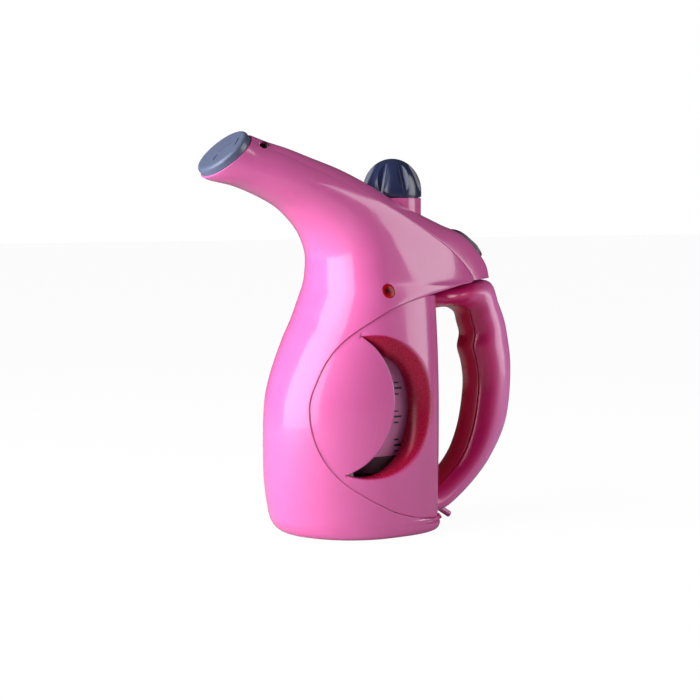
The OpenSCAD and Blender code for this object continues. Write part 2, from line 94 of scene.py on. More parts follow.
def material(name, base, alt, rough, metallic=0.0, coat=0.0, coat_rough=0.08, grain=1400, blotch=45,
             bump=0.03, bump_mm=0.01, transmission=0.0, ior=1.5, specular=0.5, deep=None):
    """A slightly uneven colour between base and alt, roughness that varies, and a fine bump.
    deep is a darker colour of painted shade, taken where the mesh's own shade attribute is 1."""
    mat = bpy.data.materials.new(name)
    mat.use_nodes = True
    nt = mat.node_tree
    p = nt.nodes["Principled BSDF"]
    v = nt.nodes.new("ShaderNodeTexCoord").outputs["Object"]
    big = noise(nt, v, blotch, 3.0)
    fine = noise(nt, v, grain, 2.0)
    colour = two_tone(nt, big, alt, base)
    # painted shade: the deep colour is mixed in by the mesh's per-vertex share
    if deep:
        blend = nt.nodes.new("ShaderNodeMix")
        blend.data_type = "RGBA"
        share = nt.nodes.new("ShaderNodeAttribute")
        share.attribute_name = "painted_shade"
        nt.links.new(share.outputs["Fac"], blend.inputs[0])
        nt.links.new(colour, blend.inputs[6])
        blend.inputs[7].default_value = (*deep, 1)
        colour = blend.outputs[2]
    nt.links.new(colour, p.inputs["Base Color"])
    nt.links.new(spread(nt, fine, rough[0], rough[1]), p.inputs["Roughness"])
    b = nt.nodes.new("ShaderNodeBump")
    b.inputs["Strength"].default_value = bump
    b.inputs["Distance"].default_value = bump_mm * MM
    nt.links.new(fine, b.inputs["Height"])
    nt.links.new(b.outputs["Normal"], p.inputs["Normal"])
    p.inputs["Metallic"].default_value = metallic
    p.inputs["Coat Weight"].default_value = coat
    p.inputs["Coat Roughness"].default_value = coat_rough
    p.inputs["IOR"].default_value = ior
    p.inputs["Specular IOR Level"].default_value = specular
    p.inputs["Transmission Weight"].default_value = transmission
    return mat


PINK = material("pink_gloss", (0.76, 0.145, 0.42), (0.735, 0.137, 0.40), (0.17, 0.22), coat=0.35,
                coat_rough=0.05)
PANEL = material("pink_panel", (0.76, 0.145, 0.42), (0.735, 0.137, 0.40), (0.19, 0.24), coat=0.3,
                 coat_rough=0.06)
# the window lip: a darker copy of the shell's pink, with a deep red painted shade inside the window's recess
LIP = material("window_lip", (0.74, 0.10, 0.34), (0.72, 0.095, 0.33), (0.26, 0.29), bump=0.02,
               bump_mm=0.004, specular=0.3, deep=(0.40, 0.006, 0.045))
# the grip inlay: a dark crimson copy of the handle's pink, painted shade where the grip faces the body
GRIP_SHADE = material("grip_painted_shade", (0.56, 0.006, 0.055), (0.52, 0.005, 0.050), (0.26, 0.34), coat=0.3,
                   coat_rough=0.12, grain=2600, blotch=80, bump=0.05, bump_mm=0.02)
# the handle's outer shell: pink, with a crimson deep colour as painted shade toward the body and under the
# wing
BACK = material("handle_pink", (0.92, 0.23, 0.60), (0.90, 0.22, 0.585), (0.2, 0.25), coat=0.3,
                coat_rough=0.06, deep=(0.68, 0.016, 0.17))
CAP = material("cap_slate", (0.026, 0.034, 0.090), (0.022, 0.029, 0.080), (0.2, 0.24), coat=0.2,
               coat_rough=0.06)
SLATE = material("slate_satin", (0.105, 0.126, 0.21), (0.098, 0.118, 0.197), (0.30, 0.33), coat=0.15,
                 coat_rough=0.15, bump=0.02, bump_mm=0.006)
SWITCH = material("switch_grey_brown", (0.16, 0.12, 0.12), (0.13, 0.10, 0.10), (0.34, 0.44), grain=3200,
                  blotch=120, bump=0.12, bump_mm=0.03)
BEZEL = material("bezel_dark", (0.035, 0.02, 0.03), (0.028, 0.016, 0.024), (0.3, 0.4), grain=3000, blotch=120,
                 bump=0.1, bump_mm=0.02)
RUBBER = material("rubber_dark", (0.022, 0.022, 0.025), (0.016, 0.016, 0.018), (0.6, 0.75), grain=3500,
                  blotch=150, bump=0.25, bump_mm=0.04, specular=0.3)
SILICONE = material("silicone_seal", (0.16, 0.07, 0.10), (0.14, 0.06, 0.088), (0.5, 0.62), grain=2600,
                    blotch=120, bump=0.15, bump_mm=0.03)
WHITE = material("white_nylon", (0.72, 0.71, 0.67), (0.66, 0.65, 0.61), (0.4, 0.5), grain=2600, blotch=80,
                 bump=0.08, bump_mm=0.02)
TUBE = material("silicone_tube_milky", (0.74, 0.70, 0.62), (0.68, 0.64, 0.56), (0.35, 0.45), grain=2200,
                blotch=100, bump=0.06, bump_mm=0.02, transmission=0.25, ior=1.42)
STEEL = material("steel_brushed", (0.56, 0.56, 0.57), (0.48, 0.48, 0.49), (0.26, 0.36), metallic=1.0,
                 grain=4200, blotch=200, bump=0.08, bump_mm=0.01)
TANK = material("tank_frosted", (0.80, 0.23, 0.52), (0.76, 0.215, 0.49), (0.38, 0.46), grain=2600, blotch=70,
                bump=0.1, bump_mm=0.02, transmission=0.05, ior=1.49)
INK = material("mark_ink", (0.012, 0.010, 0.014), (0.008, 0.007, 0.010), (0.4, 0.5), grain=3600, blotch=160,
               bump=0.1, bump_mm=0.01)
HEATER = material("heater_cast_alloy", (0.20, 0.07, 0.12), (0.16, 0.055, 0.095), (0.42, 0.6), metallic=0.3,
                  grain=1800, blotch=220, bump=0.35, bump_mm=0.05)
ELEMENT = material("element_oxide", (0.17, 0.15, 0.14), (0.12, 0.10, 0.10), (0.5, 0.65), metallic=0.8,
                   grain=2600, blotch=260, bump=0.3, bump_mm=0.03)
CERAMIC = material("ceramic_white", (0.80, 0.79, 0.75), (0.75, 0.73, 0.69), (0.2, 0.3), coat=0.4, grain=1800,
                   blotch=120, bump=0.05, bump_mm=0.01)
# red lens, with a near-black deep colour painted as shade over one side
LENS = material("lens_red", (0.48, 0.004, 0.008), (0.42, 0.003, 0.006), (0.22, 0.28), grain=1500, blotch=260,
                bump=0.02, bump_mm=0.005, specular=0.22, deep=(0.035, 0.001, 0.003))
LAMP = material("lamp_amber", (0.80, 0.33, 0.08), (0.72, 0.28, 0.06), (0.1, 0.18), grain=1800, blotch=200,
                bump=0.05, bump_mm=0.01, transmission=0.4, ior=1.49)
BRASS = material("contact_brass", (0.66, 0.44, 0.16), (0.56, 0.36, 0.12), (0.25, 0.35), metallic=1.0,
                 grain=4000, blotch=260, bump=0.08, bump_mm=0.01)
LEAD = material("lead_insulation", (0.42, 0.02, 0.03), (0.36, 0.015, 0.024), (0.42, 0.55), grain=2600,
                blotch=160, bump=0.1, bump_mm=0.02)


# ------------------------------------------------------------ mesh helpers
def mesh(name, verts, faces):
    """Mesh in metres from points in millimetres."""
    me = bpy.data.meshes.new(name)
    me.from_pydata([tuple(float(c) * MM for c in v) for v in verts], [],
                   [tuple(int(i) for i in f) for f in faces])
    return me


def fix_winding(ob):
    """Turns every face of a closed mesh outward."""
    bm = bmesh.new()
    bm.from_mesh(ob.data)
    bmesh.ops.recalc_face_normals(bm, faces=bm.faces)
    if bm.calc_volume(signed=True) < 0:
        bmesh.ops.reverse_faces(bm, faces=bm.faces)
    bm.to_mesh(ob.data)
    bm.free()
    ob.data.update()


def piece(name, verts, faces, mat, body, replaced, slot, sharp=38.0):
    """A closed visible piece; settle() finishes it. sharp is the shading angle in degrees."""
    me = mesh(name, verts, faces)
    me.validate()
    me.update()
    ob = bpy.data.objects.new(name, me)
    scene.collection.objects.link(ob)
    me.materials.append(mat)
    ob["slot_name"] = slot
    ob["body_name"] = body
    ob["replaced"] = list(replaced)
    ob["sharp"] = sharp
    fix_winding(ob)
    return ob


def paint_shade(ob, values):
    """Per-vertex share of a material's deep colour, which is painted shade."""
    layer = ob.data.attributes.new("painted_shade", "FLOAT", "POINT")
    layer.data.foreach_set("value", np.asarray(values, np.float32).ravel())


def settle(ob):
    """Shading, body and replaced nodes, once the mesh is final."""
    me = ob.data
    me.shade_smooth()
    me.set_sharp_from_angle(angle=math.radians(ob["sharp"]))
    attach(ob, ob["body_name"])
    if len(ob["replaced"]):
        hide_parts(*list(ob["replaced"]))


def cut(ob, cutter, crossing=False):
    """Subtracts cutter, a temporary object, from ob. crossing allows for faces that cross."""
    m = ob.modifiers.new("cut", "BOOLEAN")
    m.operation = "DIFFERENCE"
    m.solver = "EXACT"
    m.use_self = crossing
    m.object = cutter
    dg = bpy.context.evaluated_depsgraph_get()
    me = bpy.data.meshes.new_from_object(ob.evaluated_get(dg))
    ob.modifiers.remove(m)
    old = ob.data
    ob.data = me
    me.name = old.name + "_cut"
    bpy.data.meshes.remove(old)
    data = cutter.data
    bpy.data.objects.remove(cutter)
    bpy.data.meshes.remove(data)


def tool(verts, faces):
    """Temporary object for cut()."""
    me = mesh("tool", verts, faces)
    me.update()
    ob = bpy.data.objects.new("tool", me)
    scene.collection.objects.link(ob)
    bpy.context.view_layer.update()
    return ob


def place(points, origin, tilt=0.0):
    """Points of a local frame tilted about Y: local z leans by tilt degrees towards +X."""
    t = math.radians(tilt)
    p = np.asarray(points, float)
    x = p[..., 0] * math.cos(t) + p[..., 2] * math.sin(t)
    z = -p[..., 0] * math.sin(t) + p[..., 2] * math.cos(t)
    return np.stack([x + origin[0], p[..., 1] + origin[1], z + origin[2]], -1)


def revolve(profile, n=96):
    """Closed solid of revolution about local z. The profile is a list of (radius, height)
    that starts and ends on the axis."""
    turn = [2 * math.pi * k / n for k in range(n)]
    verts, rings = [], []
    for r, z in profile:
        if r < 1e-6:
            rings.append([len(verts)])
            verts.append((0.0, 0.0, z))
        else:
            rings.append(list(range(len(verts), len(verts) + n)))
            verts += [(r * math.cos(a), r * math.sin(a), z) for a in turn]
    faces = []
    for a, b in zip(rings, rings[1:]):
        for k in range(n):
            k2 = (k + 1) % n
            if len(a) == 1 and len(b) > 1:
                faces.append((a[0], b[k2], b[k]))
            elif len(b) == 1 and len(a) > 1:
                faces.append((a[k], a[k2], b[0]))
            elif len(a) > 1:
                faces.append((a[k], a[k2], b[k2], b[k]))
    return verts, faces


def loops_solid(loops, first, last):
    """Closed solid through a list of equal loops, with a point that closes either end."""
    n = len(loops[0])
    verts = [first] + [tuple(p) for loop in loops for p in loop] + [last]
    end = len(verts) - 1
    faces = [(0, 1 + (k + 1) % n, 1 + k) for k in range(n)]
    for i in range(len(loops) - 1):
        a, b = 1 + i * n, 1 + (i + 1) * n
        faces += [(a + k, a + (k + 1) % n, b + (k + 1) % n, b + k) for k in range(n)]
    a = 1 + (len(loops) - 1) * n
    faces += [(a + k, a + (k + 1) % n, end) for k in range(n)]
    return np.array(verts, float), faces


def pill(a, b, n=96, power=4.5):
    """Rounded rectangle outline, a superellipse with half axes a and b."""
    t = np.linspace(0, 2 * np.pi, n, endpoint=False)
    c, s = np.cos(t), np.sin(t)
    return np.stack([a * np.sign(c) * np.abs(c) ** (2 / power),
                     b * np.sign(s) * np.abs(s) ** (2 / power)], -1)


def disc_tool(origin, tilt, r, z0, z1, n=96):
    v, f = revolve([(0, z0), (r, z0), (r, z1), (0, z1)], n)
    return tool(place(v, origin, tilt), f)


def grid_normals(p):
    du = np.gradient(p, axis=0, edge_order=2)
    dv = np.gradient(p, axis=1, edge_order=2)
    n = np.cross(du, dv)
    return n / np.maximum(np.linalg.norm(n, axis=2, keepdims=True), 1e-12)


def shell_faces(m, n):
    """Faces of a closed skin between two m by n grids, the outer first."""
    half = m * n
    f = []
    for i in range(m - 1):
        for j in range(n - 1):
            a, b, c, d = i * n + j, (i + 1) * n + j, (i + 1) * n + j + 1, i * n + j + 1
            f.append((a, b, c, d))
            f.append((half + a, half + d, half + c, half + b))
    for i in range(m - 1):
        a, b = i * n, (i + 1) * n
        f.append((a, half + a, half + b, b))
        a, b = i * n + n - 1, (i + 1) * n + n - 1
        f.append((a, b, half + b, half + a))
    for j in range(n - 1):
        f.append((j, j + 1, half + j + 1, half + j))
        a, b = (m - 1) * n + j, (m - 1) * n + j + 1
        f.append((b, a, half + a, half + b))
    return f


def two_sided(outer, inner):
    """One list of points for shell_faces()."""
    return np.concatenate([outer.reshape(-1, 3), inner.reshape(-1, 3)])


def cubic(x, knots, values):
    """Smooth curve through knots with slopes from the neighbouring three points."""
    x = np.asarray(x, float)
    k, v = np.asarray(knots, float), np.asarray(values, float)
    flat = v.ndim == 1
    if flat:
        v = v[:, None]
    h = np.diff(k)
    d = np.diff(v, axis=0) / h[:, None]
    m = np.zeros_like(v)
    w0, w1 = h[1:, None], h[:-1, None]
    m[1:-1] = (d[:-1] * w0 + d[1:] * w1) / (w0 + w1)
    m[0] = 1.5 * d[0] - 0.5 * m[1]
    m[-1] = 1.5 * d[-1] - 0.5 * m[-2]
    i = np.clip(np.searchsorted(k, x, side="right") - 1, 0, len(k) - 2)
    t = ((x - k[i]) / h[i])[..., None]
    hh = h[i][..., None]
    out = ((2 * t**3 - 3 * t**2 + 1) * v[i] + (t**3 - 2 * t**2 + t) * hh * m[i]
           + (-2 * t**3 + 3 * t**2) * v[i + 1] + (t**3 - t**2) * hh * m[i + 1])
    return out[..., 0] if flat else out


def rounding(d, rho):
    """How far a surface drops at distance d from an edge rounded with radius rho."""
    d = np.minimum(np.asarray(d, float), rho)
    return rho - np.sqrt(np.maximum(rho**2 - (rho - d) ** 2, 0))


def arc_lengths(poly):
    """Arc length at each point of a polyline in a plane."""
    return np.concatenate([[0], np.cumsum(np.hypot(*np.diff(poly, axis=0).T))])


def along(poly, s):
    """Points at arc lengths s of a dense polyline."""
    seg = np.linalg.norm(np.diff(poly, axis=0), axis=1)
    c = np.concatenate([[0], np.cumsum(seg)])
    return np.stack([np.interp(s, c, poly[:, k]) for k in range(poly.shape[1])], -1)


def length(poly):
    return float(np.linalg.norm(np.diff(poly, axis=0), axis=1).sum())


# ------------------------------------------------------- shape of the body
# rows from foot to mouth: X, Z at the front centre; X, Z at the rear end; distance from the
# front to the widest place; half width there; half width at the rear end; fullness behind
ROWS = np.array([
    [-42, 0.3, 35.5, 0.3, 37, 34.5, 0, 3], [-47.4, 1.6, 37, 1.6, 42.4, 36.4, 0, 3],
    [-50.8, 4.4, 37.6, 4.4, 45.8, 37, 0, 3], [-51.9, 5.9, 35, 5.9, 46.9, 37.1, 21.6, 3],
    [-52.6, 7, 30, 7, 47.6, 37.2, 28.8, 3], [-53.5, 9, 14, 9, 48.5, 37.3, 36, 3],
    [-54.5, 13, -1, 13, 49.5, 37.4, 37.4, 3], [-56.1, 22, -19, 22, 51.1, 37.7, 37.7, 3],
    [-57, 31, -32, 31, 52, 38.1, 38.1, 3], [-57.2, 41, -40, 41, 52.2, 38.4, 38.4, 3],
    [-57.2, 52, -44.6, 52, 52.2, 38.5, 38.5, 3], [-56.8, 63, -46.4, 63, 51.8, 38.5, 38.5, 3],
    [-55.8, 73, -46, 73, 50.8, 38.3, 38.3, 3], [-53.1, 83, -42.6, 83, 48.1, 37.8, 37.8, 3],
    [-48.8, 94, -37, 94, 43.8, 36.9, 36.9, 3], [-44.2, 104, -28.8, 104, 39.2, 35.8, 35.8, 3],
    [-39.3, 113, -16, 113, 34.3, 34.6, 34.6, 3], [-36.3, 120, -2, 120, 31.3, 33.5, 33.5, 3],
    [-33.8, 126, 24, 126, 28.8, 32.4, 29.6, 3], [-32.1, 131, 48, 130, 27.1, 31.1, 22, 3],
    [-31.3, 136, 61, 132, 26.3, 30, 15.5, 3], [-31, 141, 58, 136, 26, 29.3, 16.5, 2.8],
    [-31.4, 147, 50, 143, 26.3, 28.5, 19, 2.6], [-33.8, 153.5, 40, 150, 28.2, 27.7, 21.5, 2.5],
    [-38.2, 160.5, 27, 157.5, 30.4, 26.9, 23.5, 2.4], [-44, 166.5, 14, 165, 31.2, 26, 24, 2.3],
    [-51, 172, 0, 172.5, 30, 25, 23.5, 2.2], [-59.5, 176.3, -13, 179, 28, 23.8, 22, 2.1],
    [-69, 180.1, -27, 185.8, 25, 22.3, 19.5, 2], [-78, 182.8, -42, 192.5, 21.5, 20, 16, 2],
    [-85.5, 184.2, -55, 198.6, 18, 17.8, 12.5, 2], [-90.2, 185.2, -64, 202.3, 16.6, 16.6, 10.5, 2],
    [-93.3, 186.4, -71.6, 206, 16.1, 16.1, 9.4, 2]], float)
# X, Z of the cover's crown from tail to mouth
CROWN = np.array([
    [78.8, 132.8], [77.2, 138.4], [70, 147.8], [59, 156.8], [44, 162.4], [30, 168], [12, 176.2],
    [-4, 184.6], [-20, 191.8], [-36, 197.4], [-50, 202.2], [-61, 205.2], [-69.4, 208]], float)
# stations of the handle: X, Z of its inner side; X, Z of its outer side; half width
GRIP = np.array([
    [37.5, 117, 37.5, 130, 22], [48, 117.2, 55, 130.7, 19], [57, 116, 71, 131.6, 14.5],
    [61, 113.2, 80.5, 130.6, 12.5], [63.2, 107, 86, 119.4, 12.5], [64.8, 101, 90.5, 109, 12.5],
    [63.2, 94, 93.3, 98, 12.5], [65.7, 86, 94.8, 88, 12.5], [67.3, 77, 95, 78, 12.5],
    [66.6, 65, 94, 64, 12.5], [63.6, 50, 91, 50.5, 12.5], [59.6, 39.6, 86, 40.6, 12.5],
    [55, 32.5, 77.5, 28.5, 12.5], [49.6, 27, 68.3, 19.3, 12.5], [44, 22.5, 60.2, 13, 13],
    [38, 18.5, 48, 6, 14]], float)
MID_X, SKIN_T, STEP = -5.0, 2.0, 0.8
PLATE_R, PLATE_H, PLATE_EDGE, SEAT, MOUTH_TILT = 15.3, 4.6, 2.0, 1.3, 42.0
ct, st = math.cos(math.radians(MOUTH_TILT)), math.sin(math.radians(MOUTH_TILT))
MOUTH = (-95 + PLATE_EDGE + (PLATE_R - PLATE_EDGE) * ct + (PLATE_H - PLATE_EDGE) * st, 0.0,
         210 - PLATE_EDGE - (PLATE_R - PLATE_EDGE) * st - (PLATE_H - PLATE_EDGE) * ct)
NECK_X, NECK_R, NECK_TOP, NECK_WALL, CAP_H = 18.0, 15.5, 176.5, 2.4, 20.4
LENS_AT, LENS_R, CATCH_AT, CATCH_R = (-4.3, 128.7), 3.8, (-65.6, 202.9), 2.1
SWITCH_AT, SWITCH_TILT = (64.0, 0.0, 151.9), 38.0
# half length and half width of the switch's outlines, from the cover's pocket inward
POCKET, RIM_OUT, SKIRT, RIM_IN, WELL = (12.35, 8.05), (12.2, 7.9), (11.3, 7.4), (10.35, 6.5), (10.1, 6.25)
RIM, RIM_OUT_R, RIM_IN_R, SKIRT_Z, WELL_Z = 0.9, 0.4, 0.25, -13, -11.6
ROCKER_A, ROCKER_B, ROCKER_TOP, ROCKER_CROWN, ROCKER_R, ROCKER_LEAN = 9.5, 5.9, 2.95, 1.3, 0.7, 8.0

# crease on the wing: row, X of the crease there, and how strongly it shows
CREASE = np.array([[17.5, 18, 0.0], [18, 20, 0.35], [19, 17, 0.75], [20, 15, 1.0], [21, 12.4, 1.0],
                   [22, 8, 0.95], [23, 3.2, 0.85], [24, -1.2, 0.7], [25, -9.5, 0.5], [26, -14.5, 0.3],
                   [27, -16.5, 0.1], [28, -20, 0.0]])
CREASE_BULGE = 0.35  # how much of the row's own curve stays behind the crease


def row_curve(r, index, count=260):
    """Dense points of one front shell row, from the front centre to the parting line or the ridge."""
    span = np.array([r[2] - r[0], r[3] - r[1]])
    reach_all = float(np.hypot(*span))
    full = r[6] < 1.0 and r[2] > 30
    t = np.linspace(0, 1, count)
    k = (1 - np.cos(np.pi * t)) / 2 if full else 1 - np.cos(np.pi / 2 * t)
    d = k * reach_all
    u = d - r[4]
    b, ue, p = r[5], reach_all - r[4], r[7]
    y = b * np.sqrt(np.maximum(0, 1 - (np.minimum(u, 0) / r[4]) ** 2))
    if ue > 0:
        ratio = min(r[6] / b, 0.99995)
        reach = ue / max(1e-3, 1 - ratio**p) ** (1 / p)
        rear = b * np.maximum(0, 1 - (np.maximum(u, 0) / reach) ** p) ** (1 / p)
        y = np.where(u > 0, rear, y)
        if 17.5 < index < 28:
            xc, w = np.interp(index, CREASE[:, 0], CREASE[:, 1]), np.interp(index, CREASE[:, 0], CREASE[:, 2])
            uc = (xc - r[0]) / span[0] * reach_all - r[4]
            if 0 < uc < ue and w > 0:
                yc = b * (1 - (uc / reach) ** p) ** (1 / p)
                q = (u - uc) / (ue - uc)
                soft = 0.035 + 0.05 * np.clip((index - 20) / 6, 0, 1)
                qq = 0.5 * (q + np.sqrt(q * q + soft * soft))
                chord = yc + (r[6] - yc) * np.clip(q, 0, 1)
                flat = chord + CREASE_BULGE * (y - chord)
                s = np.clip(qq / (qq + soft * 0.5), 0, 1)
                y = np.where(q > -0.2, y + w * (flat - y) * np.where(q > 0, s, 0), y)
    f = d / reach_all
    return np.stack([r[0] + f * span[0], -np.maximum(y, 0.0), r[1] + f * span[1]], -1)


ROW_STEP, COVER_STEP = 2.0, 2.2  # widest gap between neighbouring rows of points
knot = np.concatenate([[0], np.cumsum(0.5 * np.hypot(*np.diff(ROWS[:, 0:2], axis=0).T)
                                      + 0.5 * np.hypot(*np.diff(ROWS[:, 2:4], axis=0).T) + 0.3)])
levels = [0.0]
for i in range(len(ROWS) - 1):
    wide = max(np.hypot(*(ROWS[i + 1, 0:2] - ROWS[i, 0:2])), np.hypot(*(ROWS[i + 1, 2:4] - ROWS[i, 2:4])))
    n = max(2, int(math.ceil(wide / ROW_STEP)))
    levels += [i + (k + 1) / n for k in range(n)]
levels = np.array(levels)


def row_at(index):
    """The row's eight numbers at a whole or part index."""
    k = np.interp(index, np.arange(len(ROWS)), knot)
    r = cubic(k, knot, ROWS)
    r[..., 6] = np.minimum(r[..., 6], r[..., 5])
    r[..., 6] = np.maximum(r[..., 6], 0)
    return r


EDGE_D = np.array([1.4, 0.95, 0.65, 0.42, 0.24, 0.11, 0.03, 0.0])  # points close to an edge
EDGE_R, COLS, SPLIT_GAP, FOOT_Z = 0.6, 44, 0.12, 0.3


def skin(grid, normals):
    """Outer and inner points of a skin whose two long edges are rounded."""
    drop = rounding(EDGE_D, EDGE_R)
    fall = np.zeros(grid.shape[1])
    fall[-len(EDGE_D):] = drop
    fall[:len(EDGE_D)] = drop[::-1]
    return grid - normals * fall[None, :, None], grid - normals * SKIN_T


rows = []
for index in levels:
    c = row_curve(row_at(index), index)
    total = length(c)
    pts = along(c, np.concatenate([np.linspace(0, total - EDGE_D[0], COLS), total - EDGE_D[1:]]))
    pts[-1, 1] = min(pts[-1, 1], -SPLIT_GAP)
    rows.append(pts)
half_grid = np.array(rows)
body_grid = np.concatenate([half_grid[:, :0:-1], half_grid * np.array([1, -1, 1])], axis=1)
body_n = grid_normals(body_grid)
if body_n[80, body_grid.shape[1] // 2, 0] > 0:
    body_n = -body_n
outer, inner = skin(body_grid, body_n)
inner[..., 2] = np.maximum(inner[..., 2], FOOT_Z)


def surface_at(x, z):
    """Point and outward normal of the -Y side of the body at x, z."""
    half = body_grid[:, :body_grid.shape[1] // 2]
    i, j = np.unravel_index(np.argmin(np.hypot(half[..., 0] - x, half[..., 2] - z)), half.shape[:2])
    p, n = half[i, j], body_n[i, j]
    return np.array([x, p[1] - (n[0] * (x - p[0]) + n[2] * (z - p[2])) / n[1], z]), n


def stand(points, side, at, n):
    """Points of a local frame whose z is n at a point of the -Y side, mirrored for side -1."""
    e1 = np.cross((0.0, 0.0, 1.0), n)
    e1 /= np.linalg.norm(e1)
    e2 = np.cross(n, e1)
    q = np.asarray(points, float)
    w = at + q[:, :1] * e1 + q[:, 1:2] * e2 + q[:, 2:3] * n
    return w * np.array([1, side, 1])


def round_hole(ob, side, at, n, r, chamfer, depth=9.0, crossing=False):
    """Cuts a chamfered hole along n."""
    v, f = revolve([(0, -depth), (r, -depth), (r, -chamfer), (r + chamfer, 0), (r + chamfer, 4),
                    (0, 4)], 72)
    if side < 0:
        f = [tuple(q[::-1]) for q in f]
    cut(ob, tool(stand(v, side, at, n), f), crossing)


front = piece("front_shell", two_sided(outer, inner), shell_faces(*body_grid.shape[:2]), PINK, "body",
              ("left_front_shell", "right_front_shell"), "pink_shell")
lens_at, lens_n = surface_at(*LENS_AT)
catch_at, _ = surface_at(*CATCH_AT)
catch_n = np.array([-0.42, -0.86, 0.29])
CATCH_DEPTH, CATCH_CHAMFER, CLEAR = 6.0, 0.3, 0.1
for side in (1, -1):
    round_hole(front, side, lens_at, lens_n, LENS_R + CLEAR, 0.25)
    round_hole(front, side, catch_at, catch_n, CATCH_R, CATCH_CHAMFER, CATCH_DEPTH)
cut(front, disc_tool(MOUTH, -MOUTH_TILT, PLATE_R + CLEAR, -SEAT, 8, 128))
settle(front)

# -------------------------------------------------------------- top cover
COVER_ROW = 20  # the body row where the cover starts
crown_knot = arc_lengths(CROWN)
cover_levels = [float(COVER_ROW)]
for k in range(len(CROWN) - 1):
    n = max(2, int(math.ceil(np.hypot(*(CROWN[k + 1] - CROWN[k])) / COVER_STEP)))
    cover_levels += [COVER_ROW + k + (j + 1) / n for j in range(n)]


def cover_row(index, count=401):
    """Dense points across the cover, from one parting line over the crown to the other."""
    r = row_at(index)
    k = np.interp(index - COVER_ROW, np.arange(len(CROWN)), crown_knot)
    c = cubic(k, crown_knot, CROWN)
    v = np.sin(np.linspace(-np.pi / 2, np.pi / 2, count))
    h = 1 - np.abs(v) ** 3.2
    return np.stack([r[2] + (c[0] - r[2]) * h, v * (r[6] - 0.15), r[3] + (c[1] - r[3]) * h], -1)


rows = []
for index in cover_levels:
    c = cover_row(index)
    total = length(c)
    between = np.linspace(EDGE_D[0], total - EDGE_D[0], 59)[1:-1]
    rows.append(along(c, np.concatenate([EDGE_D[::-1], between, total - EDGE_D])))
cover_grid = np.array(rows)
cover_n = grid_normals(cover_grid)
if cover_n[20, cover_grid.shape[1] // 2, 2] < 0:
    cover_n = -cover_n
cover = piece("top_cover_shell", two_sided(*skin(cover_grid, cover_n)), shell_faces(*cover_grid.shape[:2]),
              PINK, "body", ("top_cover",), "pink_shell")
cut(cover, disc_tool((NECK_X, 0, 0), 0, NECK_R - NECK_WALL, 140, 200, 96), True)
cut(cover, disc_tool(MOUTH, -MOUTH_TILT, PLATE_R + CLEAR, -SEAT, 8, 127), True)
for side in (1, -1):
    round_hole(cover, side, catch_at, catch_n, CATCH_R, CATCH_CHAMFER, CATCH_DEPTH, True)
outline = pill(*POCKET)
v, f = loops_solid([np.column_stack([outline, np.full(96, z)]) for z in (-15, 15)],
                   (0, 0, -15), (0, 0, 15))
pocket = tool(place(v, SWITCH_AT, SWITCH_TILT), f)
fix_winding(pocket)
cut(cover, pocket, True)
settle(cover)

# switch: a rim that follows the crown round a shallow well, and a domed rocker
top_line = cubic(np.linspace(0, crown_knot[6], 400), crown_knot, CROWN)
t = math.radians(SWITCH_TILT)
rel = top_line - np.array([SWITCH_AT[0], SWITCH_AT[2]])
local_x = rel[:, 0] * math.cos(t) - rel[:, 1] * math.sin(t)
local_z = rel[:, 0] * math.sin(t) + rel[:, 1] * math.cos(t)
order = np.argsort(local_x)


def crown_at(x):
    """Height of the cover's crown in the switch's tilted frame."""
    return np.interp(x, local_x[order], local_z[order])


def level(a, b, lift, follow=1.0):
    """An outline lift above the crown, or at height lift where follow is 0."""
    o = pill(a, b)
    return np.column_stack([o, lift + follow * crown_at(o[:, 0])])


loops = [level(*SKIRT, SKIRT_Z, 0), level(*SKIRT, -3, 0), level(*RIM_OUT, -3.2),
         level(*RIM_OUT, RIM - RIM_OUT_R)]
for a in np.linspace(0, np.pi / 2, 5)[1:]:
    loops.append(level(*(h - RIM_OUT_R * (1 - math.cos(a)) for h in RIM_OUT),
                       RIM - RIM_OUT_R + RIM_OUT_R * math.sin(a)))
for a in np.linspace(np.pi / 2, np.pi, 5):
    loops.append(level(*(h + RIM_IN_R * math.cos(a) for h in RIM_IN),
                       RIM - RIM_IN_R + RIM_IN_R * math.sin(a)))
loops.append(level(*WELL, WELL_Z, 0))
v, f = loops_solid(loops, (0, 0, SKIRT_Z), (0, 0, WELL_Z))
settle(piece("switch_bezel", place(v, SWITCH_AT, SWITCH_TILT), f, BEZEL, "body", ("switch_housing",),
             "switch_plastic"))


def rocker_loop(a, b, lift):
    """An outline of the rocker's top, crowned along its length."""
    o = pill(a, b)
    return np.column_stack([o, lift + ROCKER_CROWN * (1 - (o[:, 0] / ROCKER_A) ** 2)])


loops = [np.column_stack([pill(ROCKER_A - 1.2, ROCKER_B), np.full(96, -1.2)]),
         np.column_stack([pill(ROCKER_A, ROCKER_B), np.full(96, 0.8)])]
for k in np.linspace(0, np.pi / 2, 6):
    loops.append(rocker_loop(*(h - ROCKER_R * (1 - math.cos(k)) for h in (ROCKER_A, ROCKER_B)),
                             ROCKER_TOP - ROCKER_R + ROCKER_R * math.sin(k)))
for q in (0.85, 0.7, 0.5, 0.3, 0.12):
    loops.append(rocker_loop((ROCKER_A - ROCKER_R) * q, (ROCKER_B - ROCKER_R) * q,
                             ROCKER_TOP + 0.25 * (1 - q * q)))
v, f = loops_solid(loops, (0, 0, -1.2), (0, 0, ROCKER_TOP + ROCKER_CROWN + 0.25))
lean = math.radians(ROCKER_LEAN)
v = np.column_stack([v[:, 0] * math.cos(lean) - v[:, 2] * math.sin(lean), v[:, 1],
                     v[:, 0] * math.sin(lean) + v[:, 2] * math.cos(lean) - 1.5])
settle(piece("rocker_top", place(v, SWITCH_AT, SWITCH_TILT), f, SWITCH, "rocker", ("rocker_button",),
             "switch_plastic"))

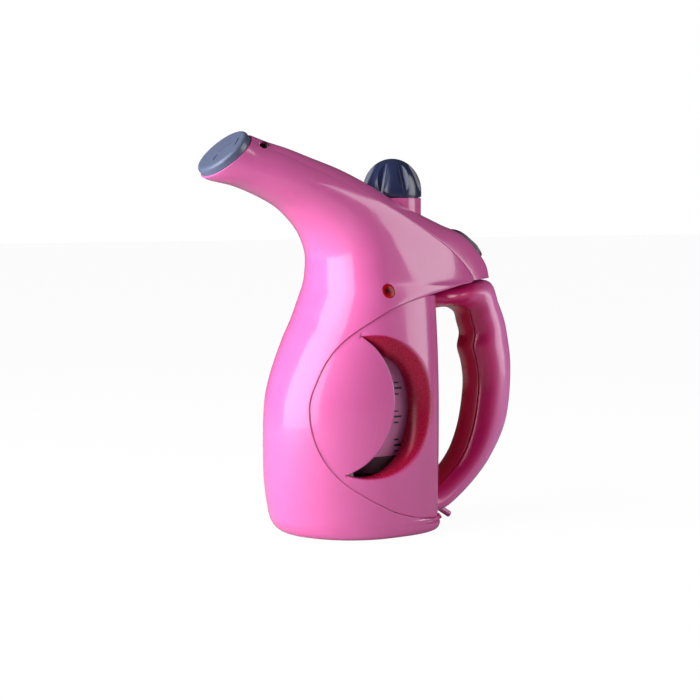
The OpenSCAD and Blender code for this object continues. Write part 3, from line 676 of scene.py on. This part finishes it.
# nozzle plate: a rounded rim, two slots and an arc of fine steam holes
prof = [(0, PLATE_H - 1.2), (PLATE_R - 3, PLATE_H - 1.2), (PLATE_R - 3, -SEAT), (PLATE_R, -SEAT)] + \
    [(PLATE_R - PLATE_EDGE * (1 - math.cos(a)), PLATE_H - PLATE_EDGE * (1 - math.sin(a)))
     for a in np.linspace(0, np.pi / 2, 13)] + [(0, PLATE_H)]
v, f = revolve(prof, 144)
plate = piece("nozzle_face", place(v, MOUTH, -MOUTH_TILT), f, SLATE, "body", ("nozzle_plate",),
              "slate_plastic")
verts, faces = [], []


def add_prism(outline, z0=2.5, z1=6.5):
    """Adds a cutter through the face of the plate."""
    middle = outline.mean(axis=0)
    v, f = loops_solid([np.column_stack([outline, np.full(len(outline), z)]) for z in (z0, z1)],
                       (*middle, z0), (*middle, z1))
    faces.extend(tuple(i + len(verts) for i in q) for q in f)
    verts.extend(tuple(p) for p in v)


SLOT_HALF, HOLE_R, HOLES = 0.45, 0.33, 12
for at, way, span in (((-5.9, -2.3), (0.94, 0.34), 4.3), ((6.2, -8.6), (0.84, 0.54), 6.5)):
    o = pill(span / 2, SLOT_HALF, 32, 6.0)
    w = np.array(way) / np.hypot(*way)
    add_prism(np.array(at) + o[:, :1] * w + o[:, 1:] * np.array([-w[1], w[0]]))
for k in range(HOLES):
    q = k / (HOLES - 1)
    at = np.array([-1.4, 0.2]) * (1 - q) + np.array([5.2, -4.8]) * q + np.array([0.5, 0.66]) * 4 * q * (1 - q)
    ang = np.linspace(0, 2 * np.pi, 12, endpoint=False)
    add_prism(at + HOLE_R * np.stack([np.cos(ang), np.sin(ang)], -1))
t = tool(place(np.array(verts), MOUTH, -MOUTH_TILT), faces)
fix_winding(t)
cut(plate, t)
settle(plate)

# neck of the filler: a collar with a rounded lip that the cap closes on
prof = [(NECK_R - NECK_WALL, 160), (NECK_R, 160)] + \
    [(NECK_R - 0.5 + 0.5 * math.cos(a), NECK_TOP - 0.5 + 0.5 * math.sin(a))
     for a in np.linspace(0, np.pi / 2, 6)] + [(NECK_R - NECK_WALL, NECK_TOP)]
n = 112
turn = [2 * math.pi * k / n for k in range(n)]
verts = [(r * math.cos(a) + NECK_X, r * math.sin(a), z) for r, z in prof for a in turn]
m = len(prof)
faces = [(a * n + k, a * n + (k + 1) % n, ((a + 1) % m) * n + (k + 1) % n, ((a + 1) % m) * n + k)
         for a in range(m) for k in range(n)]
settle(piece("filler_neck", verts, faces, PINK, "body", (), "pink_shell"))

# sockets of the brush catches, drawn dark as painted shade inside the holes
SIDES = ((1, "left"), (-1, "right"))
v, f = revolve([(0, -5.5), (2.6, -5.5), (2.6, -1.6), (2.15, -1.6), (2.15, -4.6), (0, -4.6)], 48)
for side, tag in SIDES:
    settle(piece(f"{tag}_catch_socket", stand(v, side, catch_at, catch_n), f, BEZEL, "body", (),
                 "pink_shell"))

# domed lenses in their chamfered holes
arc_a = np.linspace(0, np.pi / 2, 9)
prof = [(0, -2.4), (LENS_R, -2.4), (LENS_R, -0.45)] + \
    [(LENS_R * math.cos(a), -0.45 + 0.95 * math.sin(a)) for a in arc_a[1:-1]] + [(0, 0.5)]
v, f = revolve(prof, 64)
v = np.array(v)
for side, tag in SIDES:
    lens = piece(f"{tag}_lens_dome", stand(v, side, lens_at, lens_n), f, LENS, "body",
                 (f"{tag}_indicator_lens",), "red_lens", 70.0)
    # painted shade, darkest off the lens's centre over one side
    paint_shade(lens, np.clip(1.25 - np.hypot(v[:, 0] + 1.1, v[:, 1]) / 2.6, 0, 1))
    settle(lens)

# cap: a high dome with eight finger scoops that start above its rim
CAP_Z, CAP_R, SKIRT_H = NECK_TOP + 0.5, NECK_R + 0.2, 3
SCOOPS, SCOOP_START = 8, 37.5
prof = [(0, -0.35), (NECK_R - 0.6, -0.35), (NECK_R - 0.6, 0.0), (CAP_R - 0.35, 0.0), (CAP_R - 0.1, 0.1),
        (CAP_R, 0.35)] + \
    [(CAP_R * math.cos(a), SKIRT_H + (CAP_H - SKIRT_H) * math.sin(a))
     for a in np.linspace(0, np.pi / 2, 33)[:-1]] + [(0, CAP_H)]
v, f = revolve(prof, 192)
cap = piece("cap_dome", np.array(v) + [NECK_X, 0, CAP_Z], f, CAP, "cap", ("filler_cap",),
            "slate_plastic", 30.0)
foot, head = np.array([CAP_R - 0.1, 2.4]), np.array([8.9, 17.0])
line_d = (head - foot) / np.hypot(*(head - foot))
open_d = np.array([line_d[1], -line_d[0]])
scoop = [(w, math.sqrt((w / 1.25) ** 2 + 0.8) - 0.9) for w in np.linspace(-9, 9, 41)]
for k in range(SCOOPS):
    a = math.radians(SCOOP_START + 360 / SCOOPS * k)
    pts = []
    for e in (-6, 26):
        for w, deep in scoop:
            r, z = foot + line_d * e + open_d * deep
            pts.append((r * math.cos(a) - w * math.sin(a), r * math.sin(a) + w * math.cos(a), z))
    m = len(scoop)
    f = [tuple(range(m)), tuple(range(2 * m - 1, m - 1, -1))] + \
        [(q, m + q, m + (q + 1) % m, (q + 1) % m) for q in range(m)]
    t = tool(np.array(pts) + [NECK_X, 0, CAP_Z], f)
    fix_winding(t)
    cut(cap, t)
settle(cap)

# ------------------------------------------------------------ side panels
low = ROWS[:20]


def front_x(z):
    """X of the body's front edge."""
    return cubic(z, low[:, 1], low[:, 0])


def half_w(z):
    """Half width of the body."""
    return cubic(z, low[:, 1], low[:, 5])


# the panel's outline across the body as a table by arc length: an ellipse in front of MID_X,
# a fuller curve behind it
REAR = 37.0 - MID_X - STEP
th = np.linspace(0, np.pi / 2, 1500)
fr_u, fr_y = -np.sin(th)[::-1], np.cos(th)[::-1]
re_u, re_y = np.sin(th) ** (2 / 3), np.cos(th) ** (2 / 3)
tab_u = np.concatenate([fr_u, re_u[1:]])
tab_y = np.concatenate([fr_y, re_y[1:]])
px = np.where(tab_u < 0, tab_u * 51.4, tab_u * REAR)
arc = np.concatenate([[0], np.cumsum(np.hypot(np.diff(px), np.diff(tab_y * 37.6)))])
arc -= arc[len(fr_u) - 1]


def panel(a, z):
    """Points of the left panel's surface at arc length a and height z."""
    un, yn = np.interp(a, arc, tab_u), np.interp(a, arc, tab_y)
    f = MID_X - front_x(z) - STEP
    x = MID_X + np.where(un < 0, un * f, un * REAR)
    return np.stack([x, -(half_w(z) - STEP) * yn, np.broadcast_to(z, x.shape)], -1)


def panel_normal(a, z):
    e = 0.05
    da = panel(np.minimum(a + e, arc[-1]), z) - panel(np.minimum(a + e, arc[-1]) - 2 * e, z)
    dz = panel(a, z + e) - panel(a, z - e)
    n = np.cross(da, dz)
    n /= np.linalg.norm(n, axis=-1, keepdims=True)
    return n * np.where(n[..., 1:2] > 0.02, -1, 1)


def to_arc(x, z):
    """Arc length of the panel's point at x, z."""
    x, z = np.asarray(x, float), np.asarray(z, float)
    u = x - MID_X
    f = MID_X - front_x(z) - STEP
    return np.interp(np.where(u < 0, u / f, u / REAR), tab_u, arc)


def resample(poly, step):
    total = length(poly)
    n = max(2, int(round(total / step)))
    return along(poly, np.linspace(0, total, n + 1))


seam_knots = ROWS[2:19, 2:4]
seam_s = arc_lengths(seam_knots)
seam = cubic(np.linspace(0, seam_s[-1], 1200), seam_s, seam_knots)
tang = np.gradient(seam, axis=0)
tang /= np.linalg.norm(tang, axis=1, keepdims=True)
inward = np.stack([tang[:, 1], -tang[:, 0]], -1)
if inward[600, 0] < 0:
    inward = -inward
SEAM_GAP = 0.16
line = seam + inward * SEAM_GAP
line = line[line[:, 0] < 36.3]
top_z, end_a = 125.4, arc[-1] - 0.25
line = line[line[:, 1] <= top_z]
line_a = np.stack([to_arc(line[:, 0], line[:, 1]), line[:, 1]], -1)
start, stop = line_a[0], line_a[-1]
boundary = np.concatenate([
    resample(line_a, 1.1)[:-1],
    resample(np.array([stop, [stop[0] + 2, top_z], [end_a, top_z]]), 1.6)[:-1],
    resample(np.array([[end_a, top_z], [end_a, start[1]]]), 2.4)[:-1],
    resample(np.array([[end_a, start[1]], start]), 1.2)[:-1]])

WIN_C, WIN_R, DISC_C, DISC_R = np.array([-15.7, 69.2]), 37.5, np.array([-44.6, 73.0]), 40.6
d = DISC_C - WIN_C
dist = np.hypot(*d)
# tips of the crescent, where the window's circle and the disc's cross
reach = (WIN_R**2 - DISC_R**2 + dist**2) / (2 * dist)
rise = math.sqrt(WIN_R**2 - reach**2)
base_p = WIN_C + d / dist * reach
side_v = np.array([-d[1], d[0]]) / dist
bottom_tip, top_tip = sorted([base_p + side_v * rise, base_p - side_v * rise], key=lambda tip: tip[1])


def window_arc(n):
    a0 = math.atan2(*(bottom_tip - WIN_C)[::-1])
    a1 = math.atan2(*(top_tip - WIN_C)[::-1])
    a = np.linspace(a0, a1, n)
    r = WIN_R + 0.9 * np.clip(np.cos(a), 0, 1) ** 0.8
    return WIN_C + r[:, None] * np.stack([np.cos(a), np.sin(a)], -1)


def disc_arc(n):
    a0 = math.atan2(*(top_tip - DISC_C)[::-1])
    a1 = math.atan2(*(bottom_tip - DISC_C)[::-1])
    a = np.linspace(a0, a1, n)
    return DISC_C + DISC_R * np.stack([np.cos(a), np.sin(a)], -1)


right_xz = window_arc(97)
left_xz = disc_arc(81)
right_a = np.stack([to_arc(right_xz[:, 0], right_xz[:, 1]), right_xz[:, 1]], -1)
left_a = np.stack([to_arc(left_xz[:, 0], left_xz[:, 1]), left_xz[:, 1]], -1)
hole = np.concatenate([right_a[:-1], left_a[:-1]])


def inside(poly, pts):
    """Whether each point lies in a closed polygon."""
    x, y = pts[:, 0], pts[:, 1]
    res = np.zeros(len(pts), bool)
    j = len(poly) - 1
    for i in range(len(poly)):
        xi, yi, xj, yj = *poly[i], *poly[j]
        hit = ((yi > y) != (yj > y)) & (x < (xj - xi) * (y - yi) / ((yj - yi) or 1e-12) + xi)
        res ^= hit
        j = i
    return res


def distance(poly, pts, closed=True):
    """Distance of each point from a polyline."""
    a = poly
    b = np.roll(poly, -1, axis=0) if closed else poly[1:]
    a = a if closed else poly[:-1]
    best = np.full(len(pts), 1e9)
    for p, q in zip(a, b):
        e = q - p
        t = np.clip(((pts - p) @ e) / max(e @ e, 1e-12), 0, 1)
        best = np.minimum(best, np.hypot(*(pts - (p + t[:, None] * e)).T))
    return best


def ring(poly, gap):
    """A closed polygon moved sideways by gap."""
    t = np.roll(poly, -1, axis=0) - np.roll(poly, 1, axis=0)
    t /= np.linalg.norm(t, axis=1, keepdims=True)
    n = np.stack([t[:, 1], -t[:, 0]], -1)
    return poly + n * gap


# points of the panel: its outlines, rings close to them for the rounding, and a staggered grid
RINGS, GRID, MARGIN = (0.07, 0.18, 0.34, 0.55, 0.85), 1.9, 1.5
cand = []
for g in RINGS:
    for poly in (boundary, hole):
        for sgn in (-1, 1):
            q = ring(poly, g * sgn)
            dd = np.minimum(distance(boundary, q), distance(hole, q))
            cand.append(q[inside(boundary, q) & ~inside(hole, q) & (dd > g * 0.93)])
gx, gz = np.meshgrid(np.arange(boundary[:, 0].min(), end_a, GRID), np.arange(5, top_z, GRID))
gx = gx + (np.arange(gx.shape[0])[:, None] % 2) * (GRID / 2)
q = np.stack([gx.ravel(), gz.ravel()], -1)
dd = np.minimum(distance(boundary, q), distance(hole, q))
cand.append(q[inside(boundary, q) & ~inside(hole, q) & (dd > MARGIN)])
points = np.concatenate([boundary, hole] + cand)
nb, nh = len(boundary), len(hole)
edges = [(i, (i + 1) % nb) for i in range(nb)] + [(nb + i, nb + (i + 1) % nh) for i in range(nh)]
res = delaunay_2d_cdt([Vector((float(a), float(b))) for a, b in points], edges, [], 0, 1e-5)
vco = np.array([tuple(v) for v in res[0]])
tri = np.array(res[2])
mid = vco[tri].mean(axis=1)
tri = tri[inside(boundary, mid) & ~inside(hole, mid)]
used = np.unique(tri)
remap = -np.ones(len(vco), int)
remap[used] = np.arange(len(used))
vco, tri = vco[used], remap[tri]

surf = panel(vco[:, 0], vco[:, 1])
nrm = panel_normal(vco[:, 0], vco[:, 1])
PANEL_EDGE_R, DISC_EDGE_R = 0.45, 0.7
fall = rounding(distance(boundary, vco), PANEL_EDGE_R) + \
    rounding(distance(left_a, vco, closed=False), DISC_EDGE_R)
top = surf - nrm * fall[:, None]
under = surf - nrm * SKIN_T
nv = len(vco)
faces = [tuple(t) for t in tri] + [tuple(t[::-1] + nv) for t in tri]
count = {}
for t in tri:
    for a, b in ((t[0], t[1]), (t[1], t[2]), (t[2], t[0])):
        count[(a, b)] = count.get((a, b), 0) + 1
for (a, b) in count:
    if (b, a) not in count:
        faces.append((b, a, a + nv, b + nv))
panel_verts = np.concatenate([top, under])

# lip of the window, a strip that starts on the panel's own outline
r_pts = panel(right_a[:, 0], right_a[:, 1])
r_nrm = panel_normal(right_a[:, 0], right_a[:, 1])
toward = np.gradient(r_pts, axis=0)
toward /= np.linalg.norm(toward, axis=1, keepdims=True)
q_dir = np.cross(r_nrm, toward)
centre3 = panel(to_arc([WIN_C[0]], [WIN_C[1]]), np.array([WIN_C[1]]))[0]
q_dir *= np.sign(np.einsum("ij,ij->i", q_dir, centre3 - r_pts))[:, None]
LIP_WIDE, LIP_DEEP = 8.4, 8.6
share = np.linspace(0, 1, len(r_pts))  # 0 at the bottom tip, 1 at the top tip
low_w = np.clip(np.sin(np.pi * np.clip(share, 0, 0.5)), 0, 1) ** 1.7
high_w = np.clip((1.0 - share) / 0.13, 0.01, 1) ** 0.9 * (1 + 0.45 * np.clip(share - 0.5, 0, 0.5))
wide = 0.25 + LIP_WIDE * np.where(share < 0.5, low_w, high_w)
deep = 1.9 + LIP_DEEP * np.clip(np.sin(np.pi * share), 0, 1) ** 0.6
steps = np.linspace(0, np.pi / 2, 15)
lip_front, lip_back = [], []
for a in steps:
    across, down = (wide * math.sin(a))[:, None], (deep * (1 - math.cos(a)))[:, None]
    lip_front.append(r_pts + q_dir * across - r_nrm * down)
    lip_back.append(r_pts + q_dir * across * 0.86 - r_nrm * (down * 0.93 + 1.2 * (1 - 0.8 * a / steps[-1])))
lip_front, lip_back = np.stack(lip_front, 1), np.stack(lip_back, 1)
# painted shade: the lip darkens from its outer edge toward the inside of the window's recess
lip_shade = np.clip((wide[:, None] * np.sin(steps) - 0.2)
               / (0.5 + 3.0 * np.sin(np.pi * share[:, None]) ** 2), 0, 1)
lip_shade = lip_shade * lip_shade * (3 - 2 * lip_shade)
for side, tag in SIDES:
    flip = np.array([1, side, 1])
    settle(piece(f"{tag}_side_shell", panel_verts * flip, faces, PANEL, "body", (f"{tag}_side_panel",),
                 "pink_shell"))
    lip = piece(f"{tag}_window_lip", two_sided(lip_front, lip_back) * flip, shell_faces(*lip_front.shape[:2]),
                LIP, "body", (f"{tag}_window_frame",), "pink_shell", 60.0)
    paint_shade(lip, np.concatenate([lip_shade.ravel(), lip_shade.ravel()]))
    settle(lip)

# ----------------------------------------------------------------- handle
GRIP = np.concatenate([[[28, 119, 28, 128.5, 18]], GRIP, [[30, 16, 36, 4.5, 15]]])
grip_s = arc_lengths((GRIP[:, 0:2] + GRIP[:, 2:4]) / 2)
stations = cubic(np.linspace(0, grip_s[-1], 150), grip_s, GRIP)
GRIP_WALL, GRIP_EDGE_R = 2.2, 0.35


def grip_grid(a0, a1, n):
    """Outer and inner points round the handle from angle a0 to a1, 0 being its inner side."""
    deg = a0 + (a1 - a0) * np.linspace(0, 1, n)
    ext = np.array([0.004, 0.012, 0.025, 0.045])
    deg = np.unique(np.concatenate([deg, a0 + (a1 - a0) * ext * 0.25, a1 - (a1 - a0) * ext * 0.25]))
    a = np.radians(deg)
    g = stations
    mid = (g[:, 0:2] + g[:, 2:4]) / 2
    arm = (g[:, 2:4] - g[:, 0:2]) / 2
    ca, sa = np.cos(a), np.sin(a)
    x = mid[:, :1] - arm[:, :1] * ca
    z = mid[:, 1:] - arm[:, 1:] * ca
    y = -g[:, 4:5] * sa
    p = np.stack([x, y, z], -1)
    nrm = grid_normals(p)
    centre = np.stack([mid[:, 0], np.zeros(len(mid)), mid[:, 1]], -1)[:, None]
    nrm = nrm * np.sign(((p - centre) * nrm).sum(-1).mean())
    seg = np.linalg.norm(np.diff(p, axis=1), axis=2)
    c = np.concatenate([np.zeros((len(g), 1)), np.cumsum(seg, axis=1)], axis=1)
    dd = np.minimum(c, c[:, -1:] - c)
    return p - nrm * rounding(dd, GRIP_EDGE_R)[..., None], p - nrm * GRIP_WALL


# the inlay's crimson is painted shade on the side of the handle that faces the body
for name, a0, a1, n, mat, node, slot in (
        ("handle_grip_inlay", -38, 38, 25, GRIP_SHADE, "handle_grip", "crimson_grip"),
        ("handle_outer_shell", 39, 321, 73, BACK, "handle_back_cover", "pink_shell")):
    outer, inner = grip_grid(a0, a1, n)
    p = piece(name, two_sided(outer, inner), shell_faces(*outer.shape[:2]), mat, "body", (node,), slot)
    # painted shade: deep colour on the inner side, which faces the body, and at the upper root under the wing
    mid = (stations[:, 0:2] + stations[:, 2:4]) / 2
    away = np.degrees(np.arctan2(np.abs(outer[..., 1]), mid[:, :1] - outer[..., 0]))
    share = np.clip((116 - away) / 54, 0, 1)
    root_shade = np.clip((74 - mid[:, :1]) / 16, 0, 1) * (mid[:, 1:] > 80)
    share = np.maximum(share * share * (3 - 2 * share), root_shade)
    paint_shade(p, np.concatenate([share.ravel(), share.ravel()]))
    settle(p)

# ------------------------------------------------ finishes of carried nodes
FINISH = {
    "nozzle_gasket": SILICONE, "steam_chamber": WHITE, "steam_tube": TUBE, "tube_clips": STEEL,
    "cap_plug": WHITE, "cap_gasket": RUBBER, "water_tank": TANK, "tank_lid": TANK,
    "lid_gasket": RUBBER, "level_marks": INK, "heater_block": HEATER, "heating_element": ELEMENT,
    "heater_gasket": SILICONE, "heater_screws": STEEL, "thermostat": WHITE, "thermal_fuse": CERAMIC,
    "support_posts": WHITE, "bottom_cover": PINK, "feet": RUBBER, "base_screws": STEEL,
    "indicator_lamps": LAMP, "contact_bridge": BRASS, "switch_terminals": BRASS, "cord_gland": PINK,
    "cord_clamp": WHITE, "inner_leads": LEAD}
for name, mat in FINISH.items():
    ob = NODES[name]
    if ob.material_slots:
        for holder in ob.material_slots:
            holder.material = mat
    else:
        ob.data.materials.append(mat)

# --------------------------------------------------------- floor and light
# the camera sees floor and world near white; the object is lit by less than that
LEFT_L, RIGHT_L, FILL_L, FRONT_LIGHT, BACK_LIGHT, FLOOR_GLOW = 3.9, 3.7, 11.0, 0.04, 0.9, 0.03
floor_mat = bpy.data.materials.new("floor")
floor_mat.use_nodes = True
fp = floor_mat.node_tree.nodes["Principled BSDF"]
fp.inputs["Base Color"].default_value = (0.45, 0.45, 0.45, 1)
fp.inputs["Roughness"].default_value = 0.8
fp.inputs["Specular IOR Level"].default_value = 0.1
fp.inputs["Emission Color"].default_value = (1, 1, 1, 1)
fp.inputs["Emission Strength"].default_value = FLOOR_GLOW
ft = floor_mat.node_tree
clean = ft.nodes.new("ShaderNodeEmission")
clean.inputs["Strength"].default_value = 1.07
part = ft.nodes.new("ShaderNodeMixShader")
ray = ft.nodes.new("ShaderNodeLightPath")
ft.links.new(spread(ft, ray.outputs["Is Camera Ray"], 0.0, 0.9, 0.0, 1.0), part.inputs["Fac"])
ft.links.new(fp.outputs["BSDF"], part.inputs[1])
ft.links.new(clean.outputs["Emission"], part.inputs[2])
ft.links.new(part.outputs["Shader"], ft.nodes["Material Output"].inputs["Surface"])
me = bpy.data.meshes.new("floor")
me.from_pydata([(-6, -6, 0), (6, -6, 0), (6, 6, 0), (-6, 6, 0)], [], [(0, 1, 2, 3)])
floor = bpy.data.objects.new("floor", me)
me.materials.append(floor_mat)
scene.collection.objects.link(floor)
floor.location.z = -0.0002

world = bpy.data.worlds.new("studio")
scene.world = world
world.use_nodes = True
wt = world.node_tree
dim = wt.nodes["Background"]
glow = wt.nodes.new("ShaderNodeBackground")
glow.inputs["Color"].default_value = (1, 1, 1, 1)
glow.inputs["Strength"].default_value = 1.0
direction = wt.nodes.new("ShaderNodeTexCoord").outputs["Generated"]
dot = wt.nodes.new("ShaderNodeVectorMath")
dot.operation = "DOT_PRODUCT"
dot.inputs[1].default_value = (0.48, 0.76, 0.44)
wt.links.new(direction, dot.inputs[0])
wt.links.new(spread(wt, dot.outputs["Value"], FRONT_LIGHT, BACK_LIGHT, 0.1, 0.9), dim.inputs["Strength"])
mix = wt.nodes.new("ShaderNodeMixShader")
path = wt.nodes.new("ShaderNodeLightPath")
wt.links.new(path.outputs["Is Camera Ray"], mix.inputs["Fac"])
wt.links.new(dim.outputs["Background"], mix.inputs[1])
wt.links.new(glow.outputs["Background"], mix.inputs[2])
wt.links.new(mix.outputs["Shader"], wt.nodes["World Output"].inputs["Surface"])


def softbox(name, azimuth, distance, width, bottom, top, radiance):
    """Upright rectangular softbox; azimuth is counted from +X, radiance in scene units."""
    data = bpy.data.lights.new(name, "AREA")
    data.shape = "RECTANGLE"
    data.size, data.size_y = width, top - bottom
    data.energy = radiance * math.pi * width * (top - bottom)
    ob = bpy.data.objects.new(name, data)
    a = math.radians(azimuth)
    out = Vector((math.cos(a), math.sin(a), 0))
    ob.location = out * distance + Vector((0, 0, (top + bottom) / 2))
    ob.rotation_euler = out.to_track_quat("Z", "Y").to_euler()
    ob.visible_camera = False
    scene.collection.objects.link(ob)
    return ob


# the left softbox gives the reflection, the left fill the diffuse light
left_box = softbox("left_softbox", -167.5, 0.85, 0.95, -0.02, 1.4, LEFT_L)
left_box.visible_diffuse = False
fill = softbox("left_fill", 180.0, 1.0, 0.9, 0.0, 0.9, FILL_L)
fill.visible_glossy = False
softbox("right_softbox", -36.0, 0.9, 0.5, -0.02, 0.85, RIGHT_L)
